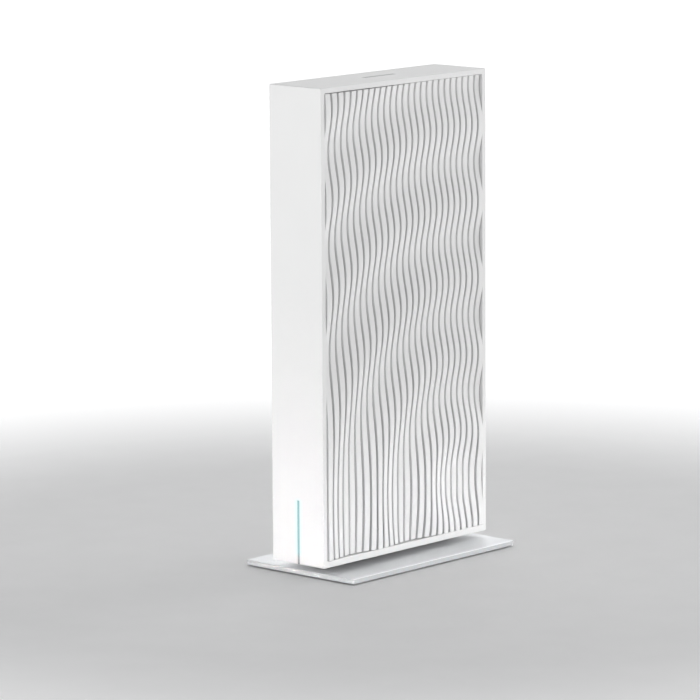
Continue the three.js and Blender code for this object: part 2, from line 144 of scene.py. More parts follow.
def add_world():
    world = bpy.data.worlds.new("studio")
    world.use_nodes = True
    background = world.node_tree.nodes["Background"]
    background.inputs["Color"].default_value = (0.985, 0.99, 1, 1)
    background.inputs["Strength"].default_value = 0.475
    bpy.context.scene.world = world


def add_lights():
    """Low lamps shade the ripples and light the sides and the front, and high cards light the rest.

    The low lamps shine up past the floor, which casts no shadow, and the two narrow ones brighten the
    lower end of the right and front faces. The rear card is what the metal base mirrors.
    """
    side = HALF_W * MM
    face = (MID_Y - HALF_D) * MM
    low_lamps = [
        area_light("rake_right", (0.2, 0.7, -0.1), (side, 0, 0.06), (0.3, 0.3), 0.9),
        area_light("fill_right", (0.8, 0.2, -0.05), (side, 0, 0.06), (0.4, 0.4), 0.94),
        area_light("key_left", (-0.85, 0.35, -0.05), (-side, 0, 0.06), (0.4, 0.4), 1.5),
        area_light("front_fill", (-0.1, -0.8, -0.25), (0, face, 0.05), (0.4, 0.3), 2.7),
        area_light("side_foot", (0.62, -0.15, -0.06), (side, 0, -0.035), (0.2, 0.15), 0.041, spread=13),
        area_light("front_foot", (-0.1, -0.75, -0.06), (0, face, -0.015), (0.2, 0.1), 0.019, spread=16),
    ]
    area_light("overhead", (0, 0, 1.3), (0, 0, 0.1), (1.0, 1.0), 2.25)
    area_light("edge_card", (0.3, 1.3, 1.2), (0, 0, 0.05), (0.8, 0.8), 3.2)
    area_light("rear_card", (-1.6, 1.8, 0.75), (0, 0, 0.1), (2.6, 1.2), 8)
    for lamp in low_lamps:
        lamp.data.cycles.use_multiple_importance_sampling = False


def add_floor(look):
    mesh = bpy.data.meshes.new("floor")
    half = 6
    mesh.from_pydata(
        [(-half, -half, 0), (half, -half, 0), (half, half, 0), (-half, half, 0)], [], [(0, 1, 2, 3)]
    )
    floor = bpy.data.objects.new("floor", mesh)
    bpy.context.scene.collection.objects.link(floor)
    mesh.materials.append(look)
    floor.visible_shadow = False  # the low lights pass it, as they would pass the top of a light table


# ---------------------------------------------------------------- materials
def new_material(name):
    look = bpy.data.materials.new(name)
    look.use_nodes = True
    return look, look.node_tree, look.node_tree.nodes["Principled BSDF"]


def node(tree, kind, **values):
    made = tree.nodes.new(kind)
    for key, value in values.items():
        setattr(made, key, value)
    return made


def noise(tree, scale, detail=2.0, stretch=(1, 1, 1)):
    """Noise in object space, scale per metre; stretch draws it out along an axis."""
    coords = node(tree, "ShaderNodeTexCoord")
    mapping = node(tree, "ShaderNodeMapping")
    mapping.inputs["Scale"].default_value = stretch
    tree.links.new(coords.outputs["Object"], mapping.inputs["Vector"])
    texture = node(tree, "ShaderNodeTexNoise")
    texture.inputs["Scale"].default_value = scale
    texture.inputs["Detail"].default_value = detail
    tree.links.new(mapping.outputs["Vector"], texture.inputs["Vector"])
    return texture.outputs["Fac"]


def remap(tree, value, low, high):
    span = node(tree, "ShaderNodeMapRange")
    span.inputs["From Min"].default_value = 0.3
    span.inputs["From Max"].default_value = 0.7
    span.inputs["To Min"].default_value = low
    span.inputs["To Max"].default_value = high
    tree.links.new(value, span.inputs["Value"])
    return span.outputs["Result"]


def blend_colors(tree, factor, first, second):
    mix = node(tree, "ShaderNodeMix", data_type="RGBA")
    for socket, color in ((mix.inputs[6], first), (mix.inputs[7], second)):
        if isinstance(color, tuple):
            socket.default_value = (*color, 1)
        else:
            tree.links.new(color, socket)
    tree.links.new(factor, mix.inputs[0])
    return mix.outputs[2]


def bump(tree, shader, height, strength, distance):
    bumps = node(tree, "ShaderNodeBump")
    bumps.inputs["Strength"].default_value = strength
    bumps.inputs["Distance"].default_value = distance
    tree.links.new(height, bumps.inputs["Height"])
    tree.links.new(bumps.outputs["Normal"], shader.inputs["Normal"])


def shade(value, amount):
    return tuple(max(0.0, min(1.0, channel * amount)) for channel in value)


def grained(name, color, rough, metal=0.0, grain=900, stretch=(1, 1, 1), vary=0.03, relief=0.12,
            specular=0.5, coat=0.0):
    """A surface whose colour, roughness and fine relief all follow noise of the stated grain."""
    look, tree, shader = new_material(name)
    shader.inputs["Metallic"].default_value = metal
    shader.inputs["Specular IOR Level"].default_value = specular
    shader.inputs["Coat Weight"].default_value = coat
    fine = noise(tree, grain, 3.0, stretch)
    broad = noise(tree, 45, 2.0)
    spread = remap(tree, broad, 0.0, 1.0)
    tint = blend_colors(tree, spread, shade(color, 1 - vary), shade(color, 1 + vary))
    tree.links.new(tint, shader.inputs["Base Color"])
    tree.links.new(remap(tree, fine, rough * 0.86, min(1.0, rough * 1.14)), shader.inputs["Roughness"])
    bump(tree, shader, fine, relief, 0.00004)
    return look


def axis_value(tree, axis):
    coords = node(tree, "ShaderNodeTexCoord")
    parts = node(tree, "ShaderNodeSeparateXYZ")
    tree.links.new(coords.outputs["Object"], parts.inputs["Vector"])
    return parts.outputs[axis]


def math_node(tree, operation, first, second):
    made = node(tree, "ShaderNodeMath", operation=operation)
    for socket, value in zip(made.inputs, (first, second)):
        if isinstance(value, (int, float)):
            socket.default_value = value
        else:
            tree.links.new(value, socket)
    return made.outputs[0]


def product(tree, first, second):
    return math_node(tree, "MULTIPLY", first, second)


def between(tree, value, low, high, soft):
    """1 between low and high, falling smoothly to 0 over soft on each side."""
    up = node(tree, "ShaderNodeMapRange", interpolation_type="SMOOTHSTEP")
    up.inputs["From Min"].default_value = low - soft
    up.inputs["From Max"].default_value = low
    tree.links.new(value, up.inputs["Value"])
    down = node(tree, "ShaderNodeMapRange", interpolation_type="SMOOTHSTEP")
    down.inputs["From Min"].default_value = high
    down.inputs["From Max"].default_value = high + soft
    down.inputs["To Min"].default_value = 1
    down.inputs["To Max"].default_value = 0
    tree.links.new(value, down.inputs["Value"])
    return product(tree, up.outputs["Result"], down.outputs["Result"])


def case_white(name, painted_glow_and_dash):
    """Satin moulded white with a fine spark-eroded grain.

    Asked for, it also has a painted glow round the light line, as a cyan tint in its colour and as emission,
    and the plain grey dash printed on top.
    """
    look = grained(name, (0.86, 0.86, 0.855), 0.5, grain=2600, vary=0.008, relief=0.05, specular=0.4)
    if not painted_glow_and_dash:
        return look
    tree = look.node_tree
    shader = tree.nodes["Principled BSDF"]
    x, y, z = (axis_value(tree, axis) for axis in "XYZ")
    # Painted glow: a cyan halo on the case round the light line, tinting its colour and lit by emission.
    reach = 0.0026
    across = between(tree, x, (LIGHT_X - 0.2) * MM, (LIGHT_X + 0.2) * MM, reach)
    along = between(tree, z, (FLOOR_Z + 5) * MM, (FLOOR_Z + LIGHT_TOP - 1) * MM, reach)
    front = between(tree, y, -1.0, (MID_Y - HALF_D + 1) * MM, 0.0005)
    halo = product(tree, product(tree, across, along), front)
    white = shader.inputs["Base Color"].links[0].from_socket
    glow_tinted = blend_colors(tree, halo, white, (0.76, 0.87, 0.865))
    shader.inputs["Emission Color"].default_value = (0.4, 1.0, 0.95, 1)
    tree.links.new(product(tree, halo, 0.06), shader.inputs["Emission Strength"])

    dash_x = between(tree, x, -1.0 * MM, 1.0 * MM, 0.0001)
    dash_y = between(tree, y, (MID_Y - 9) * MM, (MID_Y + 9) * MM, 0.0001)
    dash_z = between(tree, z, (FLOOR_Z + HEIGHT - 0.3) * MM, 1.0, 0.0001)
    dash = product(tree, product(tree, dash_x, dash_y), dash_z)
    tree.links.new(blend_colors(tree, dash, glow_tinted, (0.46, 0.46, 0.46)), shader.inputs["Base Color"])
    return look


def light_line():
    """The guide: an even teal light along its middle, greyer at its lower end."""
    look, tree, shader = new_material("light_guide_lit")
    shader.inputs["Roughness"].default_value = 0.25
    shader.inputs["Emission Color"].default_value = (0.28, 0.42, 0.42, 1)
    low = (FLOOR_Z + 5.5) * MM
    high = (FLOOR_Z + LIGHT_TOP) * MM
    along = between(tree, axis_value(tree, "Z"), low, high, 0.004)
    ripples = remap(tree, noise(tree, 300, 1.0), 0.94, 1.0)
    lit = product(tree, along, ripples)
    tint = blend_colors(tree, lit, (0.34, 0.36, 0.365), (0.16, 0.28, 0.29))
    tree.links.new(tint, shader.inputs["Base Color"])
    tree.links.new(product(tree, lit, 0.62), shader.inputs["Emission Strength"])
    return look


def brushed(name, color, rough, along="Y", relief=0.25):
    """Metal with fine brush lines along one axis."""
    stretch = {"X": (0.02, 1, 1), "Y": (1, 0.02, 1), "Z": (1, 1, 0.02)}[along]
    look = grained(name, color, rough, metal=1.0, grain=4200, stretch=stretch, vary=0.02, relief=relief)
    shader = look.node_tree.nodes["Principled BSDF"]
    shader.inputs["Anisotropic"].default_value = 0.35
    return look


def plate_metal():
    """The brushed base plate, with a faint painted glow (emission) where the white case stands close above
    it, in place of the light the case would throw on it.
    """
    look = brushed("plate_brushed_with_painted_glow", (0.86, 0.872, 0.888), 0.4, relief=0.05)
    tree = look.node_tree
    shader = tree.nodes["Principled BSDF"]
    across = between(tree, axis_value(tree, "X"), -HALF_W * MM, HALF_W * MM, 0.004)
    along = between(tree, axis_value(tree, "Y"), (MID_Y - HALF_D) * MM, (MID_Y + HALF_D) * MM, 0.004)
    # Painted light: a faint white emission over the case's footprint, lifting the shade under the case.
    shader.inputs["Emission Color"].default_value = (1, 1, 1, 1)
    glow = product(tree, across, along)
    tree.links.new(product(tree, glow, 0.045), shader.inputs["Emission Strength"])
    return look


def circuit_board(name, green):
    """Solder mask with paler copper tracks under it and a scatter of vias."""
    look, tree, shader = new_material(name)
    coords = node(tree, "ShaderNodeTexCoord")
    turn = node(tree, "ShaderNodeMapping")
    turn.inputs["Rotation"].default_value = (0, math.pi / 2, 0)
    tree.links.new(coords.outputs["Object"], turn.inputs["Vector"])
    tracks = node(tree, "ShaderNodeTexBrick", offset=0.5)
    tracks.inputs["Scale"].default_value = 260
    tracks.inputs["Mortar Size"].default_value = 0.012
    tree.links.new(turn.outputs["Vector"], tracks.inputs["Vector"])
    wander = remap(tree, noise(tree, 130, 1.0), 0.0, 1.0)
    track = product(tree, tracks.outputs["Fac"], wander)
    vias = node(tree, "ShaderNodeTexVoronoi", feature="F1")
    vias.inputs["Scale"].default_value = 420
    tree.links.new(coords.outputs["Object"], vias.inputs["Vector"])
    dots = math_node(tree, "LESS_THAN", vias.outputs["Distance"], 0.16)
    mask = blend_colors(tree, track, green, shade(green, 1.7))
    tint = blend_colors(tree, dots, mask, (0.55, 0.50, 0.28))
    tree.links.new(tint, shader.inputs["Base Color"])
    tree.links.new(remap(tree, noise(tree, 900), 0.28, 0.4), shader.inputs["Roughness"])
    bump(tree, shader, track, 0.3, 0.00003)
    return look


def pale_floor():
    """A grey table top under the router, which turns into a white sweep further off."""
    look = grained("floor_pale", (0.82, 0.82, 0.82), 0.7, grain=300, vary=0.01, relief=0.02, specular=0.15)
    tree = look.node_tree
    shader = tree.nodes["Principled BSDF"]
    table = shader.inputs["Base Color"].links[0].from_socket
    coords = node(tree, "ShaderNodeTexCoord")
    distance = node(tree, "ShaderNodeVectorMath", operation="LENGTH")
    tree.links.new(coords.outputs["Object"], distance.inputs[0])
    far = node(tree, "ShaderNodeMapRange", interpolation_type="SMOOTHSTEP")
    far.inputs["From Min"].default_value = 0.17
    far.inputs["From Max"].default_value = 0.45
    tree.links.new(distance.outputs["Value"], far.inputs["Value"])
    tint = blend_colors(tree, far.outputs["Result"], table, (0.9, 0.9, 0.9))
    tree.links.new(tint, shader.inputs["Base Color"])
    shader.inputs["Emission Color"].default_value = (1, 1, 1, 1)
    glow = product(tree, far.outputs["Result"], 0.5)
    tree.links.new(glow, shader.inputs["Emission Strength"])
    return look


def add_materials():
    return {
        "case_white": case_white("case_white_satin", False),
        "case_glow": case_white("case_white_with_painted_glow", True),
        # Painted shade: a greyer copy of the case's white, for the walls of the slits and of the side
        # windows, where shade falls.
        "recess_painted_shade": grained("recess_painted_shade", (0.78, 0.78, 0.78), 0.65, grain=2600, vary=0.02, relief=0.05),
        "socket_white": grained("socket_white_gloss", (0.88, 0.88, 0.875), 0.3, grain=1500, vary=0.01,
                                relief=0.03),
        "socket_inside": grained("socket_inside", (0.4, 0.4, 0.405), 0.6, grain=1800, vary=0.05,
                                 relief=0.08),
        "inlet_inside": grained("inlet_inside", (0.19, 0.19, 0.195), 0.55, grain=1800, vary=0.08),
        "inner_white": grained("nylon_white", (0.8, 0.79, 0.76), 0.5, grain=1400, vary=0.04),
        "plate_metal": plate_metal(),
        # Painted shade: a darker copy of the plate's metal for its sides and underside.
        "plate_edge": brushed("plate_edge_painted_shade", (0.52, 0.53, 0.54), 0.5, relief=0.04),
        # Painted shade: the neck under the case is near black, standing for the shadow in the gap between
        # case and plate.
        "neck_dark": grained("neck_dark", (0.02, 0.02, 0.021), 0.6, grain=1800, vary=0.1),
        "foot_rubber": grained("foot_rubber", (0.025, 0.025, 0.027), 0.85, grain=1300, vary=0.15,
                               relief=0.4),
        "light_guide": light_line(),
        "contact_gold": brushed("contact_gold", (0.66, 0.49, 0.21), 0.3, along="Y", relief=0.1),
        "steel": brushed("plated_steel", (0.60, 0.61, 0.62), 0.3, along="Z", relief=0.12),
        "board_green": circuit_board("board_green", (0.02, 0.13, 0.06)),
        "chip_black": grained("chip_black", (0.018, 0.018, 0.02), 0.55, grain=2400, vary=0.2, relief=0.25),
        "sink_aluminium": brushed("sink_aluminium", (0.66, 0.67, 0.68), 0.38, along="Z"),
        "pad_silicone": grained("pad_silicone", (0.27, 0.36, 0.46), 0.8, grain=1500, vary=0.1, relief=0.3),
        "chassis_grey": grained("chassis_grey", (0.09, 0.095, 0.1), 0.6, grain=1700, vary=0.08, relief=0.2),
        "ferrite": grained("ferrite", (0.035, 0.035, 0.038), 0.75, grain=3000, vary=0.25, relief=0.4),
        "lead_black": grained("lead_black", (0.015, 0.015, 0.017), 0.45, grain=2000, vary=0.15),
        "lamp": grained("lamp_phosphor", (0.85, 0.75, 0.30), 0.4, grain=2600, vary=0.08),
        "flex_amber": grained("flex_amber", (0.45, 0.20, 0.03), 0.35, grain=900, vary=0.12, coat=0.3),
        "print_grey": grained("print_grey", (0.28, 0.28, 0.28), 0.55, grain=3000, vary=0.06),
        "print_pale": grained("print_pale", (0.42, 0.42, 0.42), 0.55, grain=3000, vary=0.05),
        "floor": pale_floor(),
    }


# ---------------------------------------------------------------- mesh helpers
def make_piece(name, verts, faces, looks, body, slot, replaced=(), smooth=35):
    mesh = bpy.data.meshes.new(name)
    mesh.from_pydata([place(*v) for v in verts], [], faces)
    return finish_piece(name, mesh, looks, body, replaced, smooth)


def face_outwards(mesh):
    bm = bmesh.new()
    bm.from_mesh(mesh)
    bmesh.ops.recalc_face_normals(bm, faces=bm.faces)
    bm.to_mesh(mesh)
    bm.free()


def finish_piece(name, mesh, looks, body, replaced=(), smooth=35):
    """Turns a mesh in metres into a piece: its normals, sharp edges, materials and place in the table."""
    face_outwards(mesh)
    for look in looks:
        mesh.materials.append(look)
    for face in mesh.polygons:
        face.use_smooth = True
    mesh.set_sharp_from_angle(angle=math.radians(smooth))
    piece = bpy.data.objects.new(name, mesh)
    bpy.context.scene.collection.objects.link(piece)
    weighted = piece.modifiers.new("even_normals", "WEIGHTED_NORMAL")
    weighted.keep_sharp = True
    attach(piece, body)
    if replaced:
        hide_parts(*replaced)
    return piece


def rounded_loop(u0, v0, u1, v1, radius, steps=6):
    """Points of a rounded rectangle, anticlockwise."""
    radius = max(radius, 0.02)
    points = []
    corners = ((u1, v1, 0), (u0, v1, 1), (u0, v0, 2), (u1, v0, 3))
    for u, v, quarter in corners:
        centre_u = u - radius if u == u1 else u + radius
        centre_v = v - radius if v == v1 else v + radius
        for step in range(steps + 1):
            angle = math.pi / 2 * (quarter + step / steps)
            points.append((centre_u + radius * math.cos(angle), centre_v + radius * math.sin(angle)))
    return points


def loft(loops, closed=False):
    """Vertices and faces of a skin through loops of equally many points."""
    size = len(loops[0])
    verts = [point for loop in loops for point in loop]
    faces = []
    rows = len(loops)
    for row in range(rows if closed else rows - 1):
        below = row * size
        above = (row + 1) % rows * size
        for i in range(size):
            j = (i + 1) % size
            faces.append((below + i, below + j, above + j, above + i))
    if not closed:
        faces.append(tuple(reversed(range(size))))
        faces.append(tuple(range((rows - 1) * size, rows * size)))
    return verts, faces


def lathe(profile, centre_x, centre_z, sides=96):
    """A turned solid about an axis along y: profile holds (radius, y), from axis to axis."""
    verts = []
    faces = []
    rings = []
    for radius, y in profile:
        if radius == 0:
            rings.append([len(verts)])
            verts.append((centre_x, y, centre_z))
            continue
        ring = []
        for i in range(sides):
            angle = 2 * math.pi * i / sides
            ring.append(len(verts))
            verts.append((centre_x + radius * math.cos(angle), y, centre_z + radius * math.sin(angle)))
        rings.append(ring)
    for first, second in zip(rings, rings[1:]):
        for i in range(sides):
            j = (i + 1) % sides
            corners = [first[i % len(first)], first[j % len(first)],
                       second[j % len(second)], second[i % len(second)]]
            unique = list(dict.fromkeys(corners))
            if len(unique) > 2:
                faces.append(tuple(unique))
    return verts, faces


def box_loops(x0, x1, y0, y1, z0, z1):
    """Loops along y for a plain box."""
    return [[(x0, y, z0), (x1, y, z0), (x1, y, z1), (x0, y, z1)] for y in (y0, y1)]


def cutter(name, verts, faces):
    """A temporary closed object, for boolean() to use up."""
    mesh = bpy.data.meshes.new(name)
    mesh.from_pydata([place(*v) for v in verts], [], faces)
    face_outwards(mesh)
    tool = bpy.data.objects.new(name, mesh)
    bpy.context.scene.collection.objects.link(tool)
    return tool


def boolean(verts, faces, steps):
    """Applies boolean steps, each (operation, tool), to a closed mesh, and returns the new mesh."""
    base = cutter("blank", verts, faces)
    for operation, tool in steps:
        modifier = base.modifiers.new("step", "BOOLEAN")
        modifier.operation = operation
        modifier.object = tool
        modifier.solver = "EXACT"
    bpy.context.view_layer.update()
    graph = bpy.context.evaluated_depsgraph_get()
    mesh = bpy.data.meshes.new_from_object(base.evaluated_get(graph))
    for item in [base] + [tool for _, tool in steps]:
        bpy.data.objects.remove(item)
    return mesh


def rod_tool(name, axis, u, v, radius, low, high, sides=48):
    loops = []
    for along in (low, high):
        ring = []
        for i in range(sides):
            angle = 2 * math.pi * i / sides
            a, b = radius * math.cos(angle), radius * math.sin(angle)
            ring.append((u + a, along, v + b) if axis == "y" else (u + a, v + b, along))
        loops.append(ring)
    return cutter(name, *loft(loops))


# ---------------------------------------------------------------- the case
def case_section():
    """The wall's section, as (x, inset, at the inner wall or not, corner radius), once round."""
    steps = 5
    half = []
    for i in range(steps + 1):  # outer edge, from the side face to the outer face
        angle = math.pi / 2 * i / steps
        inset = EDGE * (1 - math.sin(angle))
        half.append((HALF_W - EDGE * (1 - math.cos(angle)), inset, False, CORNER - inset))
    inner = []
    for i in range(4):  # window edge, from the side face to the window's wall
        angle = math.pi / 2 * i / 3
        inset = WALL - WINDOW_EDGE * (1 - math.sin(angle))
        inner.append((HALF_W - WINDOW_EDGE * (1 - math.cos(angle)), inset, True, 0.45))
    rib_from, rib_to, rib = 8.45, 9.95, 1.2
    ribs = [(rib_to, WALL), (rib_to, WALL + rib), (rib_from, WALL + rib), (rib_from, WALL)]
    inner += [(x, inset, True, 0.3) for x, inset in ribs]
    right = list(reversed(half)) + inner
    left = [(-x, inset, inside, radius) for x, inset, inside, radius in reversed(right)]
    return right + left


def case_ring():
    loops = []
    for x, inset, inside, radius in case_section():
        bottom = inset + (FLOOR_WALL - WALL if inside else 0)
        outline = rounded_loop(-HALF_D + inset, bottom, HALF_D - inset, HEIGHT - inset, radius)
        loops.append([(x, y, z) for y, z in outline])
    return loft(loops, closed=True)


def add_case(looks):
    verts, faces = case_ring()
    beyond = HALF_D + 1
    inside = HALF_D - 5
    jack_low, jack_high = local_box("ethernet_jack_block")
    inlet_low, inlet_high = local_box("dc_jack_housing")
    button_low, button_high = local_box("power_button")
    button_x = (button_low.x + button_high.x) / 2
    button_z = (button_low.z + button_high.z) / 2
    hole, flare = 2.33, 0.2
    steps = []
    for low, high in ((jack_low, jack_high), (inlet_low, inlet_high)):
        right = min(high.x + GAP, jack_high.x + GAP)
        loops = box_loops(low.x - GAP, right, inside, HALF_D - flare, low.z - GAP, high.z + GAP)
        loops.append([(x + math.copysign(flare, x - (low.x + right) / 2), HALF_D,
                       z + math.copysign(flare, z - (low.z + high.z) / 2)) for x, _, z in loops[-1]])
        loops.append([(x, beyond, z) for x, _, z in loops[-1]])
        steps.append(("DIFFERENCE", cutter("socket_opening", *loft(loops))))
    mouth = lathe([(0, inside), (hole, inside), (hole, HALF_D - flare), (hole + flare, HALF_D),
                   (hole + flare, beyond), (0, beyond)], button_x, button_z)
    steps.append(("DIFFERENCE", cutter("button_opening", *mouth)))
    slot = LIGHT_SLOT / 2
    slit = loft([[(LIGHT_X - slot, y, -1), (LIGHT_X + slot, y, -1), (LIGHT_X + slot, y, LIGHT_TOP),
                  (LIGHT_X - slot, y, LIGHT_TOP)] for y in (-beyond, -HALF_D + WALL + GAP)])
    steps.append(("DIFFERENCE", cutter("light_slot", *slit)))
    for y in (-SCREW_Y, SCREW_Y):
        steps.append(("UNION", rod_tool("boss", "z", 0, y, 3.2, FLOOR_WALL / 2, 9)))
        steps.append(("DIFFERENCE", rod_tool("pilot", "z", 0, y, 1.6, -1, 10)))
    mesh = boolean(verts, faces, steps)
    shell = finish_piece("case_shell", mesh, [looks["case_glow"], looks["recess_painted_shade"]], ROUTER,
                         ["housing_frame"])
    margin = 0.05
    rib_inside = 9.9 * MM  # just short of the rib behind the panels
    window_y = (HALF_D - WALL + margin) * MM
    window_low, window_high = (place(0, 0, z).z for z in (FLOOR_WALL - margin, HEIGHT - WALL + margin))
    # The walls of the side windows take the second material, painted shade.
    for face in shell.data.polygons:
        x, y, z = face.center
        in_window = abs(y - MID_Y * MM) < window_y and window_low < z < window_high
        if in_window and abs(x) > rib_inside and abs(face.normal.x) < 0.3:
            face.material_index = 1


# ---------------------------------------------------------------- the slatted panels
def ripple(y, z):
    """How far the slats' faces stand proud of the case's side, in millimetres."""
    bowl = RIPPLE_CREST - RIPPLE_LENGTH / 2  # flat inside the first trough
    r = max(math.hypot(y - RIPPLE_Y, z - RIPPLE_Z), bowl)
    return RIPPLE_MEAN + RIPPLE_SWING * math.cos(2 * math.pi * (r - RIPPLE_CREST) / RIPPLE_LENGTH)


def slat_profile():
    """(offset from the slat's middle, depth under its face) across one slat, front to rear."""
    half = (SLAT_PITCH - SLIT) / 2
    rounding = []
    for i in range(4):
        angle = math.pi / 2 * i / 3
        rounding.append((-half + SLAT_EDGE * (1 - math.cos(angle)), SLAT_EDGE * (1 - math.sin(angle))))
    rear = [(-offset, depth) for offset, depth in reversed(rounding)]
    return rounding + [(-half / 3, 0), (half / 3, 0)] + rear


def panel_section():
    """Once round the panel, front to rear, as (y, depth under a slat's face) or (y, None, x) points."""
    profile = slat_profile()
    half_length = SLATS * SLAT_PITCH / 2 - SLIT / 2
    points = [(-half_length, None, PANEL_BACK)]
    for slat in range(SLATS):
        middle = (slat - (SLATS - 1) / 2) * SLAT_PITCH
        if slat:
            points.append((middle + profile[0][0], None, SLIT_FLOOR))
        points += [(middle + offset, depth, 0) for offset, depth in profile]
        if slat < SLATS - 1:
            points.append((middle + profile[-1][0], None, SLIT_FLOOR))
    points.append((half_length, None, PANEL_BACK))
    return points


def add_panel(looks, side, name, node_name):
    low = FLOOR_WALL + GAP
    high = HEIGHT - WALL - GAP
    rows = round((high - low) / ROW_STEP)
    section = panel_section()
    loops = []
    for row in range(rows + 1):
        z = low + (high - low) * row / rows
        loops.append([(side * (x if depth is None else HALF_W + ripple(y, z) - depth), y, z)
                      for y, depth, x in section])
    verts, faces = loft(loops)
    panel = make_piece(name, verts, faces, [looks["case_white"], looks["recess_painted_shade"]], ROUTER, "case_white",
                       [node_name], smooth=30)
    # The slits' walls and floors and the panel's end walls take the second material, painted shade.
    count = len(section)
    in_recess = [section[i][1] is None or section[(i + 1) % count][1] is None for i in range(count)]
    for face in panel.data.polygons:
        if len(face.vertices) == 4 and in_recess[face.index % count]:
            face.material_index = 1


# ---------------------------------------------------------------- the base plate and what is under it
def add_base(looks):
    low, high = local_box("base_plate")
    chamfer = 0.2
    under = 0.15
    radius = 0.6
    levels = [
        (low.z, under),
        (low.z + under, 0),
        (high.z - chamfer, 0),
        (high.z, chamfer),
    ]
    loops = []
    for z, inset in levels:
        outline = rounded_loop(low.x + inset, low.y + inset, high.x - inset, high.y - inset,
                               radius - inset, 4)
        loops.append([(x, y, z) for x, y in outline])
    verts, faces = loft(loops)
    steps = []
    head_z, head_r, shank_r, cone = low.z + 0.1, 3.0, 1.6, 1.4
    for y in (-SCREW_Y, SCREW_Y):
        rings = []
        for z, r in ((low.z - 1, head_r), (head_z, head_r), (head_z + cone, shank_r), (high.z + 1, shank_r)):
            rings.append([(r * math.cos(2 * math.pi * i / 48), y + r * math.sin(2 * math.pi * i / 48), z)
                          for i in range(48)])
        steps.append(("DIFFERENCE", cutter("screw_seat", *loft(rings))))
    mesh = boolean(verts, faces, steps)
    plate = finish_piece("base_plate_finished", mesh, [looks["plate_metal"], looks["plate_edge"]],
                         ROUTER, ["base_plate"], smooth=25)
    # The sides and underside take the darker copy of the metal, painted shade; the top keeps the lighter
    # one.
    for face in plate.data.polygons:
        face.material_index = 0 if face.normal.z > 0.3 else 1


# ---------------------------------------------------------------- sockets, inlet and button
def port_outline(z):
    """One network port in (x, z), with the small side grooves a moulded jack has."""
    contact_wall, ear, mouth, half = 0.95, 2.7, -5.55, 5.95
    upper = [
        (contact_wall, 3.45),
        (ear, 3.45),
        (ear, half),
        (-0.65, half),
        (-0.65, half + 0.62),
        (-3.25, half + 0.62),
        (-3.25, half),
        (mouth, half),
        (mouth, 3.25),
        (mouth - 1.6, 3.25),
        (mouth - 1.6, 2.05),
        (mouth - 2.6, 2.05),
    ]
    lower = [(x, -dz) for x, dz in reversed(upper)]
    return [(x, z + dz) for x, dz in upper + lower]


def grow(outline, amount):
    """A square-cornered outline moved outwards: each corner goes by both of its edges' normals."""
    grown = []
    count = len(outline)
    area = sum(outline[i - 1][0] * outline[i][1] - outline[i][0] * outline[i - 1][1] for i in range(count))
    turn = 1 if area > 0 else -1
    for i in range(count):
        (ax, az), (bx, bz), (cx, cz) = outline[i - 1], outline[i], outline[(i + 1) % count]
        before = Vector((bz - az, ax - bx)).normalized()
        after = Vector((cz - bz, bx - cx)).normalized()
        shift = (before + after) * turn * amount
        grown.append((bx + shift.x, bz + shift.y))
    return grown


def soft_box(x0, x1, y0, y1, z0, z1, edge):
    """Loops along y for a block whose front face has softened edges."""
    loops = []
    for y, inset in ((y0, 0), (y1 - edge, 0), (y1 - edge * 0.3, edge * 0.3), (y1, edge)):
        loops.append([(x0 + inset, y, z0 + inset), (x1 - inset, y, z0 + inset),
                      (x1 - inset, y, z1 - inset), (x0 + inset, y, z1 - inset)])
    return loops


def darken_inside(piece, low, high):
    """Gives a socket's second material to the faces of its cavities, leaving its outside white."""
    skin = Vector((0.2, 0.2, 0.2))
    inner_low, inner_high = place(*(low + skin)), place(*(high - skin))
    for face in piece.data.polygons:
        if all(inner_low[axis] < face.center[axis] < inner_high[axis] for axis in range(3)):
            face.material_index = 1


def add_sockets(looks):
    low, high = local_box("ethernet_jack_block")
    verts, faces = loft(soft_box(low.x, high.x, low.y, high.y, low.z, high.z, 0.15))
    lowest, pitch, ports, depth = 52.35, 13.97, 4, 14
    chamfer = 0.14
    steps = []
    for i in range(ports):
        outline = port_outline(lowest + i * pitch)
        flared = grow(outline, chamfer)
        loops = [[(x, y, z) for x, z in ring] for y, ring in (
            (high.y - depth, outline), (high.y - chamfer, outline), (high.y, flared), (high.y + 1, flared))]
        steps.append(("DIFFERENCE", cutter("port", *loft(loops))))
    mesh = boolean(verts, faces, steps)
    face = finish_piece("ethernet_jack_face", mesh, [looks["socket_white"], looks["socket_inside"]], ROUTER,
                        ["ethernet_jack_block"], smooth=30)
    darken_inside(face, low, high)


